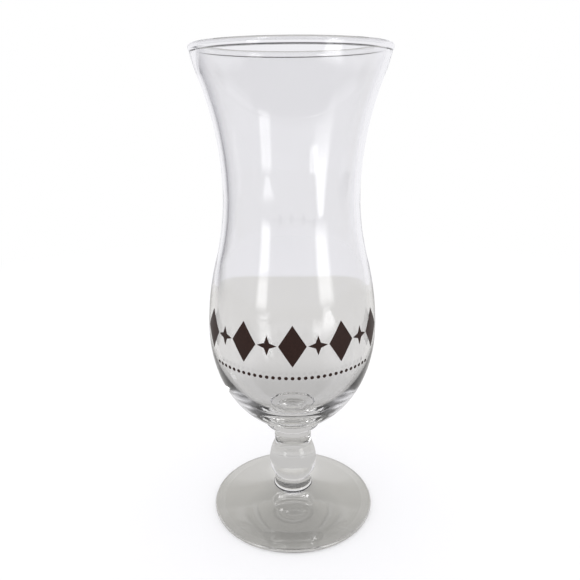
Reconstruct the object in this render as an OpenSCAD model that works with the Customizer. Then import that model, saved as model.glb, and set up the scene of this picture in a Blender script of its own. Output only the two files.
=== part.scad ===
// Hurricane glass: a tall footed drinking glass. The bowl has a round belly, narrows
// to a waist and flares to a rounded lip. It stands on a short stem with a ball knop,
// on a wide thin foot, and carries a band of fired enamel print round its front.
// Lengths are in millimetres. The origin is the centre of the foot's resting face,
// +Z points up through the glass and the middle of the print faces -Y.

/* [Overall] */
// Height from the table to the top of the lip
height = 206; // [192:1:230]

/* [Foot] */
// Diameter of the foot
foot_d = 75; // [60:0.5:90]
// Height of the foot at the stem
foot_h = 11; // [7:0.1:13]
// Thickness of the foot's rounded edge
foot_edge_h = 2; // [1.4:0.1:4]
// Width of the flat ring that the foot stands on
bearing_w = 4; // [3:0.1:8]
// Depth of the hollow under the foot
foot_hollow = 1.4; // [0.6:0.1:2.4]

/* [Stem] */
// Diameter of the collar between foot and knop
collar_d = 17.1; // [13:0.1:20]
// Height of the collar
collar_h = 5.2; // [3:0.1:10]
// Diameter of the ball knop
knop_d = 21.9; // [20.5:0.1:30]
// Rise from the knop's widest ring to where its long upper curve would close
knop_rise = 18; // [11:0.5:22]
// Diameter of the neck above the knop
neck_d = 16.9; // [12:0.1:20]
// Height of the neck
neck_h = 8.4; // [5:0.1:14]
// Diameter of the button that joins the neck to the bowl
button_d = 25; // [23.5:0.1:28]
// Height of the button
button_h = 3.3; // [2.4:0.1:4.5]
// Radius on the lower edge of the button
button_edge_r = 1.2; // [0.4:0.1:1.6]

/* [Bowl] */
// Outside diameter of the belly
belly_d = 72.5; // [66:0.5:84]
// Depth of the round lower bowl, from the belly to where its curve would close
lower_bowl_h = 47.1; // [40:0.1:54]
// Rise from the belly's widest ring to the waist's narrowest
waist_rise = 60; // [50:0.5:66]
// Outside diameter of the waist
waist_d = 56.3; // [50:0.1:60]
// Outside diameter of the bowl's wall just under the lip
mouth_d = 77.5; // [70:0.1:86]
// Lean of the wall at the lip, in degrees off upright
lip_lean = 11.5; // [4:0.5:16]
// Thickness of the wall from the waist up
wall = 2.2; // [1.6:0.1:2.8]
// Thickness of the wall at the belly
belly_wall = 2.6; // [1.8:0.1:3.4]
// Thickness of the glass in the middle of the bowl's bottom
bowl_bottom_t = 3.4; // [2.4:0.1:6]

/* [Rim] */
// Diameter of the round bead along the lip
bead_d = 3.2; // [2.9:0.1:4]

/* [Print] */
// Thickness of the fired enamel
print_t = 0.12; // [0.08:0.01:0.3]
// Height of the band's centre line above the belly's widest ring
print_rise = 5.5; // [0:0.5:10]
// Height of a lozenge
lozenge_h = 17; // [8:0.5:20]
// Width of a lozenge
lozenge_w = 11; // [5:0.5:13]
// Length of a star from point to point
star_w = 8; // [4:0.2:9]
// Bare glass between a lozenge and a star
motif_gap = 0.6; // [0.2:0.1:2]
// Diameter of a dot in the line under the band
dot_d = 1.5; // [0.8:0.1:2]
// Gap from the lozenges' lower points down to the middle of the dots
dot_drop = 5; // [2:0.5:7]
// Number of dots in the line
dot_count = 29; // [9:2:31]
// Bare glass between one dot and the next
dot_gap = 1.1; // [0.5:0.1:1.4]

/* [Hidden] */

// Colours as the photograph shows them
glass_colour = [0.80, 0.84, 0.83, 0.45];
enamel_colour = [0.19, 0.09, 0.07];

// Facets of a full turn, and steps along a curved stretch of an outline
$fn = 96;
curve_steps = 14;
motif_steps = 8;
dot_steps = 1;

// Space that keeps the enamel's solid just off the curved glass
print_clearance = 0.03;
// Overrun of a cutting shape past what it cuts
overrun = 1;

foot_r = foot_d / 2;
collar_r = collar_d / 2;
knop_r = knop_d / 2;
neck_r = neck_d / 2;
button_r = button_d / 2;
belly_r = belly_d / 2;
waist_r = waist_d / 2;
mouth_r = mouth_d / 2;
bead_r = bead_d / 2;

// The stem's pieces stack on the foot, each on the flat top of the one below
collar_z = foot_h;
knop_z = collar_z + collar_h;
knop_middle_z = knop_z + sqrt(pow(knop_r, 2) - pow(collar_r, 2));
neck_z = knop_middle_z + knop_rise * sqrt(1 - pow(neck_r / knop_r, 2));
button_z = neck_z + neck_h;
bowl_z = button_z + button_h;

// The lower bowl is half an ellipse, cut flat where it is as wide as the button
lower_bowl_cut = acos(button_r / belly_r);
belly_z = bowl_z + lower_bowl_h * sin(lower_bowl_cut);
bowl_inside_z = bowl_z + bowl_bottom_t;
waist_z = belly_z + waist_rise;

// The bead is a round ring, cut flat where it is as wide as the wall
bead_cut = sqrt(pow(bead_r, 2) - pow(wall / 2, 2));
bead_middle_z = height - bead_r;
lip_z = bead_middle_z - bead_cut;
lip_middle_r = mouth_r - wall / 2;

// Belly to waist: two arcs that meet at one lean, both upright at their far ends.
// The share is how much of the rise the outward-bulging arc takes.
shoulder_share = 0.525;
shoulder_lean = 2 * atan((belly_r - waist_r) / waist_rise);
shoulder_arc_sum = waist_rise / sin(shoulder_lean);
shoulder_r = shoulder_share * shoulder_arc_sum;
waist_arc_r = (1 - shoulder_share) * shoulder_arc_sum;

// Waist to lip: an arc that leans out to the flare's steepest lean, then one that
// straightens up to the lip's own lean. The share is the flare arc's part of the rise.
flare_share = 0.845;
flare_rise = flare_share * (lip_z - waist_z);
lip_rise = (1 - flare_share) * (lip_z - waist_z);
flare_out = mouth_r - waist_r;
lip_tan = tan(lip_lean / 2);
flare_b = flare_rise + lip_rise + flare_out * lip_tan;
flare_c = flare_out - lip_rise * lip_tan;
flare_root = sqrt(pow(flare_b, 2) - 4 * flare_rise * lip_tan * flare_c);
flare_lean = 2 * atan(2 * flare_c / (flare_b + flare_root));
flare_arc_r = flare_rise / sin(flare_lean);
lip_arc_r = lip_rise / (sin(flare_lean) - sin(lip_lean));
flare_top_r = waist_r + flare_arc_r * (1 - cos(flare_lean));

// Heights of the print's rows, and the angles round the belly from one copy to the next
band_z = belly_z + print_rise;
dots_z = band_z - lozenge_h / 2 - dot_drop;
motif_pitch = 2 * (asin(lozenge_w / 2 / belly_r) + asin(star_w / 2 / belly_r)
                   + asin(motif_gap / belly_r));
dot_pitch = asin((dot_d + dot_gap) / belly_r);

// Values at even steps from one end of a range to the other
function spread(from, to, steps = curve_steps) =
    [for (i = [0 : steps]) from + (to - from) * i / steps];

// Outside of the bowl's wall, as [radius, height] points in order from the bottom up
function lower_bowl_outside() =
    [for (a = spread(lower_bowl_cut, 0)) [belly_r * cos(a), belly_z - lower_bowl_h * sin(a)]];
function shoulder_outside() =
    [for (a = spread(0, shoulder_lean))
        [belly_r - shoulder_r * (1 - cos(a)), belly_z + shoulder_r * sin(a)]];
function waist_outside() =
    [for (a = spread(shoulder_lean, 0))
        [waist_r + waist_arc_r * (1 - cos(a)), waist_z - waist_arc_r * sin(a)]];
function flare_outside() =
    [for (a = spread(0, flare_lean))
        [waist_r + flare_arc_r * (1 - cos(a)), waist_z + flare_arc_r * sin(a)]];
function lip_outside() =
    [for (a = spread(flare_lean, lip_lean, curve_steps / 2))
        [flare_top_r + lip_arc_r * (cos(a) - cos(flare_lean)),
         waist_z + flare_rise + lip_arc_r * (sin(flare_lean) - sin(a))]];

// Points of a list without the first, which repeats the last of the stretch before
function rest(points) = [for (i = [1 : len(points) - 1]) points[i]];

function upper_bowl_outside() =
    concat(rest(shoulder_outside()), rest(waist_outside()), rest(flare_outside()),
           rest(lip_outside()));

// The wall thins evenly from the belly to the waist and stays the same above it
function wall_at(z) =
    z >= waist_z ? wall : belly_wall + (wall - belly_wall) * (z - belly_z) / waist_rise;
function upper_bowl_inside() =
    [for (p = upper_bowl_outside()) [p[0] - wall_at(p[1]), p[1]]];
function lower_bowl_inside() =
    [for (a = spread(0, 90))
        [(belly_r - belly_wall) * cos(a), belly_z - (belly_z - bowl_inside_z) * sin(a)]];
function reversed(points) = [for (i = [len(points) - 1 : -1 : 0]) points[i]];

// Outside radius of the belly region at a height, for the print that lies on it
function belly_r_at(z) =
    z < belly_z
        ? belly_r * sqrt(1 - pow((belly_z - z) / lower_bowl_h, 2))
        : belly_r - shoulder_r + sqrt(pow(shoulder_r, 2) - pow(z - belly_z, 2));

module bowl() {
    color(glass_colour)
        rotate_extrude()
            polygon(concat([[0, bowl_z]], lower_bowl_outside(), upper_bowl_outside(),
                           reversed(upper_bowl_inside()), lower_bowl_inside()));
}

module rim_bead() {
    color(glass_colour)
        rotate_extrude()
            intersection() {
                translate([lip_middle_r, bead_middle_z])
                    circle(bead_r);
                translate([lip_middle_r - bead_d, lip_z])
                    square([2 * bead_d, 2 * bead_d]);
            }
}

module bowl_button() {
    edge_middle = [button_r - button_edge_r, button_z + button_edge_r];
    color(glass_colour)
        rotate_extrude()
            polygon(concat(
                [[0, bowl_z], [0, button_z]],
                [for (a = spread(-90, 0)) edge_middle + button_edge_r * [cos(a), sin(a)]],
                [[button_r, bowl_z]]));
}

module neck() {
    color(glass_colour)
        translate([0, 0, neck_z])
            cylinder(h = neck_h, r = neck_r);
}

// The knop is round like a ball below its widest ring and draws out longer above it
module ball_knop() {
    low_turn = acos(collar_r / knop_r);
    high_turn = acos(neck_r / knop_r);
    color(glass_colour)
        rotate_extrude()
            polygon(concat(
                [[0, knop_z]],
                [for (a = spread(-low_turn, 0))
                    [knop_r * cos(a), knop_middle_z + knop_r * sin(a)]],
                [for (a = rest(spread(0, high_turn)))
                    [knop_r * cos(a), knop_middle_z + knop_rise * sin(a)]],
                [[0, neck_z]]));
}

module foot_collar() {
    color(glass_colour)
        translate([0, 0, collar_z])
            cylinder(h = collar_h, r = collar_r);
}

// The foot's top dips from the collar to the rounded edge, its underside is hollow
module foot() {
    edge_r = foot_edge_h / 2;
    edge_middle = [foot_r - edge_r, edge_r];
    // How far the sloping top's bend lies along its reach and below its middle
    bend_reach_share = 0.42;
    bend_height_share = 0.2;
    top_start = [edge_middle[0], foot_edge_h];
    top_end = [collar_r, foot_h];
    top_bend = [top_end[0] + bend_reach_share * (top_start[0] - top_end[0]),
                top_start[1] + bend_height_share * (top_end[1] - top_start[1])];
    // The hollow falls in one soft wave from its middle to the ring that stands
    hollow_r = edge_middle[0] - bearing_w;
    color(glass_colour)
        rotate_extrude()
            polygon(concat(
                [for (t = spread(0, 1))
                    [hollow_r * t, foot_hollow * (1 + cos(180 * t)) / 2]],
                [for (a = spread(-90, 90)) edge_middle + edge_r * [cos(a), sin(a)]],
                [for (t = rest(spread(0, 1)))
                    pow(1 - t, 2) * top_start + 2 * t * (1 - t) * top_bend
                    + pow(t, 2) * top_end],
                [[0, foot_h]]));
}

// A thin skin of enamel on the belly between two heights
module enamel_skin(low_z, high_z, steps) {
    heights = spread(low_z, high_z, steps);
    inside_gap = print_clearance;
    outside_gap = print_clearance + print_t;
    rotate_extrude()
        polygon(concat(
            [for (z = heights) [belly_r_at(z) + outside_gap, z]],
            reversed([for (z = heights) [belly_r_at(z) + inside_gap, z]])));
}

// A flat shape pushed out through the front wall of the belly at an angle round it
module through_front(angle, z) {
    start_r = belly_r / 2;
    rotate([0, 0, angle])
        translate([0, -start_r, z])
            rotate([90, 0, 0])
                linear_extrude(belly_r - start_r + print_clearance + print_t + overrun)
                    children();
}

// The index runs over the row, and the row's middle lies at the front of the glass
function row_angle(index, count, pitch) = (index - (count + 1) / 2) * pitch;

lozenge_count = 5;
star_count = lozenge_count - 1;

module print_lozenge(index) {
    color(enamel_colour)
        intersection() {
            enamel_skin(band_z - lozenge_h / 2 - overrun, band_z + lozenge_h / 2 + overrun,
                        motif_steps);
            through_front(row_angle(index, lozenge_count, motif_pitch), band_z)
                polygon([[0, -lozenge_h / 2], [lozenge_w / 2, 0],
                         [0, lozenge_h / 2], [-lozenge_w / 2, 0]]);
        }
}

module print_star(index) {
    points = 4;
    // Distance of a star's inner corners from its middle, of that of its points
    waist_share = 0.38;
    color(enamel_colour)
        intersection() {
            enamel_skin(band_z - star_w / 2 - overrun, band_z + star_w / 2 + overrun,
                        motif_steps);
            through_front(row_angle(index, star_count, motif_pitch), band_z)
                polygon([for (i = [0 : 2 * points - 1])
                    let (reach = star_w / 2 * (i % 2 == 0 ? 1 : waist_share),
                         turn = i * 180 / points)
                    reach * [cos(turn), sin(turn)]]);
        }
}

module print_dots() {
    color(enamel_colour)
        for (i = [1 : dot_count])
            intersection() {
                enamel_skin(dots_z - dot_d, dots_z + dot_d, dot_steps);
                through_front(row_angle(i, dot_count, dot_pitch), dots_z)
                    circle(dot_d / 2, $fn = 24);
            }
}

rim_bead();
bowl();
bowl_button();
neck();
ball_knop();
foot_collar();
foot();
print_lozenge(1);  // print_lozenge_1
print_lozenge(2);  // print_lozenge_2
print_lozenge(3);  // print_lozenge_3
print_lozenge(4);  // print_lozenge_4
print_lozenge(5);  // print_lozenge_5
print_star(1);  // print_star_1
print_star(2);  // print_star_2
print_star(3);  // print_star_3
print_star(4);  // print_star_4
print_dots();
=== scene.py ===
import math

import bpy
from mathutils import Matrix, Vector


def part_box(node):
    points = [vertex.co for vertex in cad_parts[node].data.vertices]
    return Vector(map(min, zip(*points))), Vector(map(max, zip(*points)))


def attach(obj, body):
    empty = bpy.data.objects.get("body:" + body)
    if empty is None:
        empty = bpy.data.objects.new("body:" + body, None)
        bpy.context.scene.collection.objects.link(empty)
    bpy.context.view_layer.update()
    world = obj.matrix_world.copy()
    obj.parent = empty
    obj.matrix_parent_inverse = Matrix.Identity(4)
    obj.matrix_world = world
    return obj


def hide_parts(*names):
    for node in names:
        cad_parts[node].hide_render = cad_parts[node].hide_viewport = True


# A hurricane glass, put together from the foot up: foot, stem, bowl, lip, then the
# fired enamel print, the table, the room, the windows and the camera. Lengths are in metres.
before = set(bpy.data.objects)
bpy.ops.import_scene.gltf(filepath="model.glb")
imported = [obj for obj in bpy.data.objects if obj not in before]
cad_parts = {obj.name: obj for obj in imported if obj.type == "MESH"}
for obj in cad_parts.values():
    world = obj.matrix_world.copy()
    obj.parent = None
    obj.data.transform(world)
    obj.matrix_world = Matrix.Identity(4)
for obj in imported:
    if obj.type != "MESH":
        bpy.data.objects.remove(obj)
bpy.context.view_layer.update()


# The foot: a wide thin disc of clear soda-lime glass, pressed hot with the stem. Its top
# falls away from the collar in a long dip, its edge is fire-polished to a half round,
# and its underside is hollowed, so that the glass stands on a ring.
stem_facets, wide_facets = 144, 192
# Points closer than this are one, and edges that turn by more than this stay crisp
touching, crease = 2e-6, math.radians(35)


def even(start, end, steps):
    """Values at even steps from start to end."""
    return [start + (end - start) * i / steps for i in range(steps + 1)]


def arc(middle, radius, start, end, steps, rise=None):
    """Points of (distance from the axis, height) along an arc, its angles in degrees.

    With a rise it is the arc of an oval that reaches that far above and below its middle.
    """
    turns = [math.radians(a) for a in even(start, end, steps)]
    return [(middle[0] + radius * math.cos(a), middle[1] + (rise or radius) * math.sin(a))
            for a in turns]


def spin_glass(name, outline, facets):
    """Draw an outline one point after another and spin it round the upright axis."""
    bpy.ops.object.select_all(action="DESELECT")
    bpy.ops.mesh.primitive_plane_add(size=0.002, location=(0, 0, 0))
    piece = bpy.context.active_object
    piece.name = piece.data.name = name
    # The plane shrinks to one point, which is moved to the outline's start and drawn out
    bpy.ops.object.mode_set(mode="EDIT")
    bpy.ops.mesh.select_all(action="SELECT")
    bpy.ops.mesh.merge(type="CENTER")
    bpy.ops.transform.translate(value=(outline[0][0], 0, outline[0][1]))
    for (r0, z0), (r1, z1) in zip(outline, outline[1:]):
        bpy.ops.mesh.extrude_region_move(
            TRANSFORM_OT_translate={"value": (r1 - r0, 0, z1 - z0)})
    bpy.ops.mesh.select_all(action="SELECT")
    bpy.ops.mesh.spin(steps=facets, angle=2 * math.pi, center=(0, 0, 0), axis=(0, 0, 1))
    bpy.ops.mesh.select_all(action="SELECT")
    bpy.ops.mesh.remove_doubles(threshold=touching)
    bpy.ops.mesh.normals_make_consistent(inside=False)
    bpy.ops.object.mode_set(mode="OBJECT")
    bpy.ops.object.shade_smooth_by_angle(angle=crease)
    return piece


class Wire:
    """A shader socket that can stand in a sum: each operator adds its Math node."""

    def __init__(self, finish, socket):
        self.finish, self.socket = finish, socket

    def step(self, operation, left, right):
        """Add one Math node."""
        return self.finish.node("Math", {"operation": operation}, {0: left, 1: right})

    def __add__(self, other):
        return self.step("ADD", self, other)

    def __sub__(self, other):
        return self.step("SUBTRACT", self, other)

    def __rsub__(self, other):
        return self.step("SUBTRACT", other, self)

    def __mul__(self, other):
        return self.step("MULTIPLY", self, other)

    def __truediv__(self, other):
        return self.step("DIVIDE", self, other)

    def __pow__(self, other):
        return self.step("POWER", self, other)

    __radd__, __rmul__ = __add__, __mul__

    def held(self):
        """The value kept between 0 and 1."""
        return self.finish.node("Clamp", {}, {0: self})

    def ramp(self, start, full):
        """A slope that is 0 where the value is at its start, and 1 where it is full."""
        return ((self - start) / (full - start)).held()


class Finish:
    """A material, or the room's light, whose shader is written as a list of nodes."""

    def __init__(self, owner):
        owner.use_nodes = True
        self.tree = owner.node_tree
        self.tree.nodes.clear()

    def node(self, kind, settings, sockets, out=0):
        """Add a node: first its settings, then the values or wires of its sockets."""
        made = self.tree.nodes.new("ShaderNode" + kind)
        for name, value in settings.items():
            setattr(made, name, value)
        for name, value in sockets.items():
            if isinstance(value, Wire):
                self.tree.links.new(value.socket, made.inputs[name])
            else:
                made.inputs[name].default_value = value
        return Wire(self, made.outputs[out]) if made.outputs else None

    def part(self, vector, axis):
        """One of a vector's three values."""
        return self.node("SeparateXYZ", {}, {0: vector}, axis)

    def blend(self, share, first, second):
        """Mix two colours by a share."""
        return self.node("Mix", {"data_type": "RGBA"}, {0: share, 6: first, 7: second}, 2)

    def see_through(self):
        """A surface that lets all light pass unbent."""
        return self.node("BsdfTransparent", {}, {"Color": (1, 1, 1, 1)})

    def cover(self, surface):
        """Make a surface the one that shows."""
        self.node("OutputMaterial", {}, {"Surface": surface})


clear_glass = bpy.data.materials.new("clear_glass")
finish = Finish(clear_glass)
place = finish.node("TexCoord", {}, {}, "Object")
# The metal's faint streaks and clouds, and the film that years of washing leave on it
clouds = finish.node("TexNoise", {}, {"Vector": place, "Scale": 38, "Detail": 3})
washing = finish.node("TexNoise", {}, {"Vector": place, "Scale": 210, "Detail": 4})
# Low down, in the foot, the glass shows more of its own grey
grey_height, clear_height = 0.008, 0.012
low_down = finish.part(place, "Z").ramp(clear_height, grey_height)
clear_tone = finish.blend(clouds, (0.895, 0.895, 0.90, 1), (0.925, 0.925, 0.93, 1))
gloss = finish.node("BsdfPrincipled", {}, {
    "Base Color": finish.blend(low_down, clear_tone, (0.86, 0.855, 0.835, 1)),
    "Roughness": 0.004 + 0.03 * washing ** 3,
    "IOR": 1.52,
    "Transmission Weight": 1.0,
    "Normal": finish.node("Bump", {}, {"Strength": 0.5, "Distance": 0.00002, "Height": clouds}),
})
finish.cover(gloss)

# Where two pieces are one glass, light passes from one to the other unbent
joined_glass = bpy.data.materials.new("joined_glass")
finish = Finish(joined_glass)
finish.cover(finish.see_through())


def finish_glass(piece, node, joints):
    """Give a glass piece its finish, its open joints and its place in the frame.

    A joint is a level face, given as its height and how far it reaches from the axis.
    """
    piece.data.materials.append(clear_glass)
    piece.data.materials.append(joined_glass)
    for face in piece.data.polygons:
        face_r = math.hypot(face.center.x, face.center.y)
        for joint_z, joint_r in joints:
            level = abs(face.normal.z) > 0.999 and abs(face.center.z - joint_z) < touching
            if level and face_r < joint_r:
                face.material_index = 1
    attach(piece, "root")
    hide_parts(node)


foot_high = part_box("foot")[1]
collar_low, collar_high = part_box("foot_collar")
foot_r, foot_top, collar_r = foot_high.x, foot_high.z, collar_high.x
foot_edge_r, stand_w, hollow_depth = 0.001, 0.004, 0.0014
foot_edge_middle = (foot_r - foot_edge_r, foot_edge_r)
hollow_r = foot_r - foot_edge_r - stand_w
# The dip is one curve, pulled from its straight course towards a bend
bend_reach_share, bend_height_share = 0.5, 0.35
dip_start, dip_end = (foot_edge_middle[0], 2 * foot_edge_r), (collar_r, foot_top)
dip_bend = (collar_r + bend_reach_share * (dip_start[0] - collar_r),
            dip_start[1] + bend_height_share * (foot_top - dip_start[1]))
dip = [tuple((1 - t) ** 2 * start + 2 * t * (1 - t) * bend + t * t * end
             for start, bend, end in zip(dip_start, dip_bend, dip_end))
       for t in even(0, 1, 40)[1:]]
# The cove runs the dip up into the collar, and the dip stops just short of it
foot_cove, cove_margin = 0.0015, 0.0002
foot_slope = math.atan2(foot_top - dip_bend[1], dip_bend[0] - collar_r)
foot_cove_middle = (collar_r + foot_cove, foot_top + foot_cove * (
    1 - math.sin(foot_slope)) / math.cos(foot_slope))
foot_cove_low = 270 - math.degrees(foot_slope)
foot_cove_turn = 180 + math.degrees(math.asin((foot_cove_middle[1] - foot_top) / foot_cove))
foot_cove_r = foot_cove_middle[0] + foot_cove * math.cos(math.radians(foot_cove_low))
outline = [(hollow_r * t, hollow_depth * (1 + math.cos(math.pi * t)) / 2)
           for t in even(0, 1, 36)]
outline += arc(foot_edge_middle, foot_edge_r, -90, 90, 20)
outline += [point for point in dip if point[0] > foot_cove_r + cove_margin]
outline += arc(foot_cove_middle, foot_cove, foot_cove_low, foot_cove_turn, 10)
outline += [(0, foot_top)]
foot = spin_glass("foot_glass", outline, wide_facets)
foot_joint = (foot_top, collar_r + foot_cove)
finish_glass(foot, "foot", [foot_joint])


# The collar: a short round post of glass that lifts the knop off the foot. It is pressed
# in one with both, and coves run it into them.
knop_low, knop_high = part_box("ball_knop")
knop_r, knop_cove = knop_high.x, 0.001
knop_middle = (0, knop_low.z + math.sqrt(knop_r ** 2 - collar_r ** 2))
knop_cove_middle = (collar_r + knop_cove, knop_middle[1] - math.sqrt(
    (knop_r + knop_cove) ** 2 - (collar_r + knop_cove) ** 2))
knop_cove_turn = 180 - math.degrees(math.asin((knop_low.z - knop_cove_middle[1]) / knop_cove))
outline = [(0, collar_low.z)]
outline += arc(foot_cove_middle, foot_cove, foot_cove_turn, 180, 8)
outline += arc(knop_cove_middle, knop_cove, 180, knop_cove_turn, 5)
outline += [(0, collar_high.z)]
collar = spin_glass("collar_glass", outline, stem_facets)
collar_joint = (collar_high.z, collar_r + knop_cove)
finish_glass(collar, "foot_collar", [foot_joint, collar_joint])


# The knop: a solid ball of glass in the stem, shaped in the mould, that draws out longer
# above its widest ring. A tight cove runs it into the neck, whose first stretch it carries.
# It acts as a lens for what lies behind it.
neck_low, neck_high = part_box("neck")
neck_r, knop_rise, neck_foot_cove = neck_high.x, 0.0155, 0.0005


def cove_on_knop(a):
    """Middle of the cove that touches the knop's upper curve at an angle, and its lean."""
    lean = math.atan2(math.sin(a) / knop_rise, math.cos(a) / knop_r)
    return (knop_r * math.cos(a) + neck_foot_cove * math.cos(lean),
            knop_middle[1] + knop_rise * math.sin(a) + neck_foot_cove * math.sin(lean)), lean


# Halving finds the angle at which the cove touches the neck's side as well
touch_low, touch_high = 0, math.pi / 2
for _ in range(40):
    touch = (touch_low + touch_high) / 2
    if cove_on_knop(touch)[0][0] > neck_r + neck_foot_cove:
        touch_low = touch
    else:
        touch_high = touch
neck_foot_middle, touch_lean = cove_on_knop(touch)
ball_low = -math.degrees(math.acos(knop_cove_middle[0] / (knop_r + knop_cove)))
outline = [(0, knop_low.z)]
outline += arc(knop_cove_middle, knop_cove, knop_cove_turn, 180 + ball_low, 6)
outline += arc(knop_middle, knop_r, ball_low, 0, 24)[1:]
outline += arc(knop_middle, knop_r, 0, math.degrees(touch), 28, knop_rise)[1:]
outline += arc(neck_foot_middle, neck_foot_cove, 180 + math.degrees(touch_lean), 180, 8)[1:]
outline += [(neck_r, knop_high.z), (0, knop_high.z)]
knop = spin_glass("ball_knop_glass", outline, stem_facets)
knop_joint = (knop_high.z, neck_r)
finish_glass(knop, "ball_knop", [collar_joint, knop_joint])


# The neck: the straight length of stem between the knop and the bowl's button. It is one
# glass with both, and a cove runs it out under the button.
neck_cove = 0.0008
outline = [(0, neck_low.z), (neck_r, neck_low.z)]
outline += arc((neck_r + neck_cove, neck_high.z - neck_cove), neck_cove, 180, 90, 10)
outline += [(0, neck_high.z)]
neck = spin_glass("neck_glass", outline, stem_facets)
neck_joint = (neck_high.z, neck_r + neck_cove)
finish_glass(neck, "neck", [knop_joint, neck_joint])


# The button: the round merese of glass that the bowl was joined to the stem with. Its lower
# edge is rounded, and a fine cove runs its side up into the bowl.
button_low, button_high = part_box("bowl_button")
button_r, button_edge_r, bowl_cove = button_high.x, 0.0012, 0.0004
button_edge_middle = (button_r - button_edge_r, button_low.z + button_edge_r)
belly_r, lower_bowl_h = 0.03625, 0.0471
bowl_cut = math.acos(button_r / belly_r)
bowl_slope = math.atan2(lower_bowl_h * math.cos(bowl_cut), belly_r * math.sin(bowl_cut))
bowl_cove_middle = (button_r + bowl_cove, button_high.z - bowl_cove * (
    1 - math.sin(bowl_slope)) / math.cos(bowl_slope))
bowl_cove_turn = 180 - math.degrees(
    math.asin((button_high.z - bowl_cove_middle[1]) / bowl_cove))
outline = [(0, button_low.z), (neck_r + neck_cove, button_low.z)]
outline += arc(button_edge_middle, button_edge_r, -90, 0, 10)
outline += arc(bowl_cove_middle, bowl_cove, 180, bowl_cove_turn, 6)
outline += [(0, button_high.z)]
button = spin_glass("button_glass", outline, stem_facets)
button_joint = (button_high.z, button_r + bowl_cove)
finish_glass(button, "bowl_button", [neck_joint, button_joint])


# The bowl: blown clear glass, thick in the bottom and thin in the wall. It swells to a
# round belly, draws in to a waist and flares to the lip.
bowl_low, bowl_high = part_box("bowl")
wall, belly_wall, bottom_t = 0.0022, 0.0026, 0.0034
waist_r, waist_rise, mouth_r = 0.02815, 0.060, bowl_high.x
belly_z = bowl_low.z + lower_bowl_h * math.sin(bowl_cut)
waist_z, lip_z = belly_z + waist_rise, bowl_high.z
# From belly to waist two arcs meet with one lean: the shoulder bulges, the waist is hollow
shoulder_share = 0.525
shoulder_lean = 2 * math.atan((belly_r - waist_r) / waist_rise)
shoulder_r = shoulder_share * waist_rise / math.sin(shoulder_lean)
waist_arc_r = (1 - shoulder_share) * waist_rise / math.sin(shoulder_lean)
# From waist to lip a long arc leans out, and a short one stands up again to the lip's lean.
# How far the long one leans comes from a quadratic in the tangent of half its angle
flare_share, lip_lean = 0.845, math.radians(11.5)
flare_rise = flare_share * (lip_z - waist_z)
lip_rise = (1 - flare_share) * (lip_z - waist_z)
flare_out = mouth_r - waist_r
lip_tan = math.tan(lip_lean / 2)
flare_b = flare_rise + lip_rise + flare_out * lip_tan
flare_c = flare_out - lip_rise * lip_tan
flare_root = math.sqrt(flare_b ** 2 - 4 * flare_rise * lip_tan * flare_c)
flare_lean = 2 * math.atan(2 * flare_c / (flare_b + flare_root))
flare_arc_r = flare_rise / math.sin(flare_lean)
lip_arc_r = lip_rise / (math.sin(flare_lean) - math.sin(lip_lean))
lip_arc_middle = (
    waist_r + flare_arc_r * (1 - math.cos(flare_lean)) - lip_arc_r * math.cos(flare_lean),
    waist_z + flare_rise + lip_arc_r * math.sin(flare_lean))


def wall_at(z):
    """The wall's thickness at a height: even above the waist, thicker down to the belly."""
    return wall if z >= waist_z else belly_wall + (wall - belly_wall) * (z - belly_z) / waist_rise


# The outside starts where the button's cove ends
cove_end_share = 0.68
outside_start_r = button_r + bowl_cove * cove_end_share * math.cos(bowl_slope)
outside_start = -math.degrees(math.acos(outside_start_r / belly_r))
lower_outside = arc((0, belly_z), belly_r, outside_start, 0, 40, lower_bowl_h)
upper_outside = arc((belly_r - shoulder_r, belly_z), shoulder_r,
                    0, math.degrees(shoulder_lean), 20)[1:]
upper_outside += arc((waist_r + waist_arc_r, waist_z), waist_arc_r,
                     180 + math.degrees(shoulder_lean), 180, 20)[1:]
upper_outside += arc((waist_r + flare_arc_r, waist_z), flare_arc_r,
                     180, 180 - math.degrees(flare_lean), 24)[1:]
upper_outside += arc(lip_arc_middle, lip_arc_r,
                     -math.degrees(flare_lean), -math.degrees(lip_lean), 10)[1:]
upper_inside = [(r - wall_at(z), z) for r, z in reversed(upper_outside)]
inside_depth = belly_z - bowl_low.z - bottom_t
lower_inside = arc((0, belly_z), belly_r - belly_wall, 0, -90, 44, inside_depth)
outline = [(0, bowl_low.z)]
outline += arc(bowl_cove_middle, bowl_cove, bowl_cove_turn,
               90 + math.degrees(bowl_slope), 6)[:-1]
outline += lower_outside + upper_outside + upper_inside + lower_inside
bowl = spin_glass("bowl_glass", outline, wide_facets)
finish_glass(bowl, "bowl", [button_joint, (lip_z, mouth_r)])


# The rim bead: the lip is melted back to a round bead of glass, a little thicker than
# the wall that carries it. Its underside keeps the clear glass's finish and its gloss.
bead_r = 0.00159
bead_middle = (mouth_r - wall / 2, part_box("rim_bead")[1].z - bead_r)
bead_open = math.degrees(math.asin(wall / 2 / bead_r))
outline = arc(bead_middle, bead_r, -90 + bead_open, 270 - bead_open, 40)
outline += [outline[0]]
bead = spin_glass("rim_bead_glass", outline, wide_facets)
finish_glass(bead, "rim_bead", [])


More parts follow.
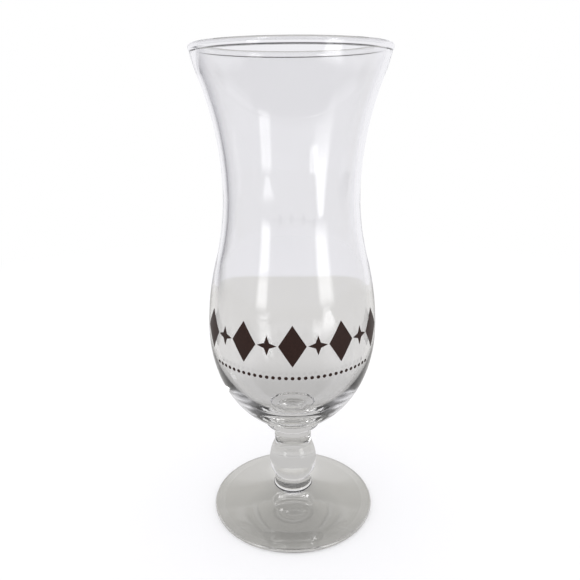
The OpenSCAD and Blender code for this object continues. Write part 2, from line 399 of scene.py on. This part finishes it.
# The print: a band of five lozenges and four small stars over a line of dots, screened
# in dark brown enamel on the front of the belly and fired on. The skin is a tenth of a
# millimetre thick, with a soft gloss.
brown_enamel = bpy.data.materials.new("brown_enamel")
finish = Finish(brown_enamel)
place = finish.node("TexCoord", {}, {}, "Object")
patches = finish.node("TexNoise", {}, {"Vector": place, "Scale": 160, "Detail": 4})
grain = finish.node("TexNoise", {}, {"Vector": place, "Scale": 2600, "Detail": 3})
colour = finish.blend(patches, (0.015, 0.006, 0.0045, 1), (0.028, 0.011, 0.008, 1))
colour = finish.blend((grain ** 4) * 3, colour, (0.05, 0.024, 0.018, 1))
satin = finish.node("BsdfPrincipled", {}, {
    "Base Color": colour,
    "Roughness": 0.32 + 0.2 * patches,
    "Specular IOR Level": 0.15,
    "Normal": finish.node("Bump", {}, {"Strength": 0.5, "Distance": 0.00002, "Height": grain}),
})
finish.cover(satin)
skin_gap, skin_t = 0.00003, 0.00012
lozenge_h, lozenge_w, star_w, motif_gap = 0.017, 0.011, 0.008, 0.0006
dot_d, dot_gap, dot_count = 0.0015, 0.0011, 29
band_rise, dots_drop = 0.0055, 0.005
band_z = belly_z + band_rise
dots_z = band_z - lozenge_h / 2 - dots_drop
motif_pitch = 2 * (math.asin(lozenge_w / 2 / belly_r) + math.asin(star_w / 2 / belly_r)
                   + math.asin(motif_gap / belly_r))
dot_pitch = math.asin((dot_d + dot_gap) / belly_r)


def belly_at(z):
    """The belly's outside radius at a height."""
    if z < belly_z:
        return belly_r * math.sqrt(1 - ((belly_z - z) / lower_bowl_h) ** 2)
    return belly_r - shoulder_r + math.sqrt(shoulder_r ** 2 - (z - belly_z) ** 2)


def face_front():
    """Turn the shape in edit mode from level to upright, so that it faces the front."""
    bpy.ops.mesh.select_all(action="SELECT")
    bpy.ops.transform.rotate(value=math.radians(-90), orient_axis="X", center_override=(0, 0, 0))


def lay_on_belly(piece, turn, z_middle):
    """Lay a flat motif, drawn in X and Z about the origin, on the front of the belly."""
    for v in piece.data.vertices:
        z = v.co.z + z_middle
        r = belly_at(z) + skin_gap
        x, y = v.co.x, -math.sqrt(r * r - v.co.x ** 2)
        v.co = (x * math.cos(turn) - y * math.sin(turn),
                x * math.sin(turn) + y * math.cos(turn), z)
    bpy.ops.object.select_all(action="DESELECT")
    piece.select_set(True)
    bpy.context.view_layer.objects.active = piece
    skin = piece.modifiers.new("skin", "SOLIDIFY")
    skin.thickness, skin.offset = skin_t, 1
    bpy.ops.object.modifier_apply(modifier="skin")
    bpy.ops.object.shade_smooth_by_angle(angle=crease)
    piece.data.materials.append(brown_enamel)


def lay_row(pattern, count, name, pitch, z_middle):
    """Lay copies of a motif side by side, each with a mesh of its own, and name them."""
    row = []
    for i in range(count):
        piece = bpy.data.objects.new(f"{name}_{i + 1}", pattern.data.copy())
        piece.data.name = piece.name
        bpy.context.collection.objects.link(piece)
        lay_on_belly(piece, (i - (count - 1) / 2) * pitch, z_middle)
        row.append(piece)
    bpy.data.objects.remove(pattern)
    return row


def finish_enamel(piece, node):
    """Give a patch of enamel its place in the frame."""
    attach(piece, "root")
    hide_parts(node)


# A lozenge is a square grid of unit height and width, stood on its corner
bpy.ops.object.select_all(action="DESELECT")
bpy.ops.mesh.primitive_grid_add(x_subdivisions=20, y_subdivisions=20, size=math.sqrt(0.5))
lozenge = bpy.context.active_object
bpy.ops.object.mode_set(mode="EDIT")
bpy.ops.mesh.select_all(action="SELECT")
bpy.ops.transform.rotate(value=math.radians(45), orient_axis="Z", center_override=(0, 0, 0))
face_front()
bpy.ops.transform.resize(value=(lozenge_w, 1, lozenge_h), center_override=(0, 0, 0))
bpy.ops.object.mode_set(mode="OBJECT")
for i, piece in enumerate(lay_row(lozenge, 5, "lozenge_enamel", motif_pitch, band_z)):
    finish_enamel(piece, f"print_lozenge_{i + 1}")

# A star is a disc of eight points, with every second one drawn in
star_waist_share, off_axis = 0.38, star_w / 8
bpy.ops.object.select_all(action="DESELECT")
bpy.ops.mesh.primitive_circle_add(vertices=8, radius=star_w / 2, fill_type="TRIFAN")
star = bpy.context.active_object
bpy.ops.object.mode_set(mode="EDIT")
bpy.ops.mesh.select_all(action="DESELECT")
bpy.ops.object.mode_set(mode="OBJECT")
for v in star.data.vertices:
    v.select = min(abs(v.co.x), abs(v.co.y)) > off_axis
bpy.ops.object.mode_set(mode="EDIT")
bpy.ops.transform.resize(
    value=(star_waist_share, star_waist_share, 1), center_override=(0, 0, 0))
bpy.ops.mesh.select_all(action="SELECT")
bpy.ops.mesh.subdivide(number_cuts=7)
face_front()
bpy.ops.object.mode_set(mode="OBJECT")
for i, piece in enumerate(lay_row(star, 4, "star_enamel", motif_pitch, band_z)):
    finish_enamel(piece, f"print_star_{i + 1}")

# The dots are small discs, joined to one piece
bpy.ops.object.select_all(action="DESELECT")
bpy.ops.mesh.primitive_circle_add(vertices=24, radius=dot_d / 2, fill_type="NGON")
dot = bpy.context.active_object
bpy.ops.object.mode_set(mode="EDIT")
face_front()
bpy.ops.object.mode_set(mode="OBJECT")
dots = lay_row(dot, dot_count, "dot", dot_pitch, dots_z)
bpy.ops.object.select_all(action="DESELECT")
for piece in dots:
    piece.select_set(True)
bpy.context.view_layer.objects.active = dots[0]
bpy.ops.object.join()
dots = bpy.context.active_object
dots.name = dots.data.name = "dots_enamel"
finish_enamel(dots, "print_dots")


# The table: a plain pale top, that fades into the white of the room further out. It takes
# the glass's cast shadow near the foot, and has painted shade and a painted pool of light
# there as well. Through the glass it shows its own warm grey as far as its back edge, and
# the pale wall beyond.
white, black = (1, 1, 1, 1), (0, 0, 0, 1)
pale_wall, warm_grey = (0.96, 0.955, 0.985, 1), (0.80, 0.79, 0.77, 1)
back_edge, back_edge_end = 0.365, 0.377
# Where the painted shade and the painted pool of light lie on the table, and how strong they are
foot_shade_r, foot_shade_full_r = 0.0372, 0.0362
front_shade_y, front_shade_full_y = 0.004, -0.026
stem_shade_middle, stem_shade_r, stem_shade_full_r = (0, -0.015, 0), 0.024, 0.010
ring_shade_r, ring_shade_full_r = 0.14, 0.09
painted_pool_middle, painted_pool_r, painted_pool_full_r = (0, 0.018, 0), 0.013, 0.005
front_shade, stem_shade, ring_shade, painted_pool_light = 0.26, 0.2, 0.22, 0.35
table_r, plain_r, all_white_r = 4, 0.10, 0.55
# How much of the table's light is its own, for the eye and, on top of that, for the glass
eye_white, glass_white = 0.3, 0.45


def sight(finish):
    """Whether a ray comes straight from the eye, and whether the eye or the glass sends it."""
    direct, mirrored, bent = [finish.node("LightPath", {}, {}, f"Is {kind} Ray")
                              for kind in ("Camera", "Glossy", "Transmission")]
    return direct, (direct + mirrored + bent).held()


def away_from(finish, place, middle):
    """How far a place on the table lies from a middle."""
    return finish.node("VectorMath", {"operation": "DISTANCE"}, {0: place, 1: middle}, "Value")


bpy.ops.object.select_all(action="DESELECT")
bpy.ops.mesh.primitive_circle_add(vertices=96, radius=table_r, fill_type="NGON",
                                  location=(0, 0, 0))
table = bpy.context.active_object
table.name = "table_top"
table_finish = bpy.data.materials.new("pale_table")
finish = Finish(table_finish)
direct, seen = sight(finish)
place = finish.node("TexCoord", {}, {}, "Object")
depth, reach = finish.part(place, "Y"), away_from(finish, place, (0, 0, 0))
beyond = depth.ramp(back_edge, back_edge_end)
colour = finish.blend(direct, finish.blend(beyond, warm_grey, pale_wall), white)
# Painted shade: under the glass the table's colour is darkened, most of all in front of the
# stem. A ring of painted shade round the foot shows only in the glass
under = reach.ramp(foot_shade_r, foot_shade_full_r)
in_front = depth.ramp(front_shade_y, front_shade_full_y)
by_stem = away_from(finish, place, stem_shade_middle).ramp(stem_shade_r, stem_shade_full_r)
ring = reach.ramp(ring_shade_r, ring_shade_full_r) * (1 - under) * (1 - direct)
painted_shade = under * (front_shade * in_front + stem_shade * by_stem) + ring_shade * ring
colour = finish.blend(painted_shade, colour, black)
# A painted pool of light brightens the table behind the stem, standing in for light the knop
# gathers; only the glass shows it
painted_pool = away_from(finish, place, painted_pool_middle).ramp(painted_pool_r, painted_pool_full_r)
brightness = 1 + painted_pool_light * (painted_pool * (1 - direct))
# The top is partly lit by the room and partly white of its own, and further out all white
far_out = reach.ramp(plain_r, all_white_r)
own_white = eye_white + glass_white * (1 - direct)
table_surface = finish.node("MixShader", {}, {
    0: seen * (own_white + (1 - own_white) * far_out),
    1: finish.node("BsdfDiffuse", {}, {"Color": colour}),
    2: finish.node("Emission", {}, {"Color": colour, "Strength": brightness}),
})
finish.cover(table_surface)
table.data.materials.append(table_finish)


# The floor beyond the table's left side is dark. Only the glass shows it, as the thin dark
# line down its left wall and the dark spot at the belly's edge.
above_table = 0.0004
floor_corners = [(-0.9, 0.1), (-0.25, 0.12), (-2.4, 1.2), (-1.0, 1.6)]


def cover_softly(finish, surface, across_slope, along_slope):
    """Let a flat piece's surface fade to nothing at its four edges."""
    place = finish.node("TexCoord", {}, {}, "UV")
    across, along = finish.part(place, "X"), finish.part(place, "Y")
    soft = ((across * (1 - across) * across_slope).held()
            * (along * (1 - along) * along_slope).held())
    finish.cover(finish.node("MixShader", {}, {0: soft, 1: finish.see_through(), 2: surface}))


def show_in_glass_only(piece, material):
    """Give a piece of the stage its finish and hide it from all but the glass."""
    piece.data.materials.append(material)
    piece.visible_camera = piece.visible_diffuse = piece.visible_shadow = False


bpy.ops.mesh.primitive_plane_add(size=1, location=(0, 0, above_table))
dark_floor = bpy.context.active_object
dark_floor.name = "dark_floor"
for v, (x, y) in zip(dark_floor.data.vertices, floor_corners):
    v.co = (x, y, 0)
dark_floor_finish = bpy.data.materials.new("dark_floor")
finish = Finish(dark_floor_finish)
dull = finish.node("BsdfDiffuse", {}, {"Color": (0.2, 0.2, 0.21, 1)})
cover_softly(finish, dull, 5, 5)
show_in_glass_only(dark_floor, dark_floor_finish)


# The room: pale walls all round, that the glass shows through itself. High up they are
# dim, a little less so and from higher up at the two sides, which draws the dark crescents
# in the bowl's bottom.
room_light, dim_rise, dim_full_rise, dimness = 1.15, 0.3, 0.42, 0.95
side_start, side_full, side_rise, side_relief = 0.2, 0.07, 0.1, 0.12
room = bpy.data.worlds.new("room")
bpy.context.scene.world = room
finish = Finish(room)
direct, seen = sight(finish)
way = finish.node("TexCoord", {}, {}, "Generated")
north, rise = finish.part(way, "Y"), finish.part(way, "Z")
aside = (north * north).ramp(side_start, side_full)
high_up = (rise - side_rise * aside).ramp(dim_rise, dim_full_rise)
wall_tone = 1 - high_up * (dimness - side_relief * aside)
light = finish.node("Background", {}, {
    "Color": finish.blend(direct, pale_wall, white),
    "Strength": room_light + seen * (wall_tone - room_light),
})
finish.node("OutputWorld", {}, {"Surface": light})


# Two tall windows behind the camera, with nets that soften their edges. Their light draws
# the long bright streaks down the bowl.
window_finish = bpy.data.materials.new("window_light")
finish = Finish(window_finish)
window_light = 4
glow = finish.node("Emission", {}, {"Color": white, "Strength": window_light})
cover_softly(finish, glow, 6, 7)
left_azimuth, right_azimuth, window_distance, gleam_distance, sill = -42, 48, 1.6, 1.0, 0.0


def lit_plane(name, azimuth, distance, height, tilt, size):
    """A soft bright plane, turned about the upright axis to face the glass."""
    a = math.radians(azimuth)
    bpy.ops.mesh.primitive_plane_add(
        size=1, location=(distance * math.sin(a), -distance * math.cos(a), height),
        rotation=(math.radians(tilt), 0, a))
    plane = bpy.context.active_object
    plane.name = plane.data.name = name
    plane.scale = (*size, 1)
    show_in_glass_only(plane, window_finish)


def window(name, azimuth, width, head):
    """A window that stands on the sill's height and reaches up to its head."""
    lit_plane(name, azimuth, window_distance, (sill + head) / 2, 90, (width, head - sill))


window("window_left", left_azimuth, 0.5, 0.46)
window("window_right", right_azimuth, 0.7, 0.95)

# A glowing plane laid on the table paints the right window's gleam on it: a painted reflection
# that only the glass shows
lit_plane("painted_table_gleam", right_azimuth, gleam_distance, above_table, 0, (0.25, 1.3))


# The camera stands a little above the lip and looks down on the glass. Light is turned back
# many times inside the thick glass before it gets out, so its paths are long.
camera_place, camera_turn = (-0.0000583, -0.247702, 0.18814), (71.8669, 0.3506, 0.0813)
bpy.ops.object.camera_add(location=camera_place,
                          rotation=[math.radians(a) for a in camera_turn])
camera = bpy.context.active_object
camera.data.lens, camera.data.sensor_width = 37.3513, 36
camera.data.clip_start, camera.data.clip_end = 0.01, 20
bpy.context.scene.camera = camera
bpy.context.scene.view_settings.view_transform = "Standard"
paths = bpy.context.scene.cycles
paths.max_bounces = paths.transmission_bounces = paths.transparent_max_bounces = 28
paths.glossy_bounces = 16
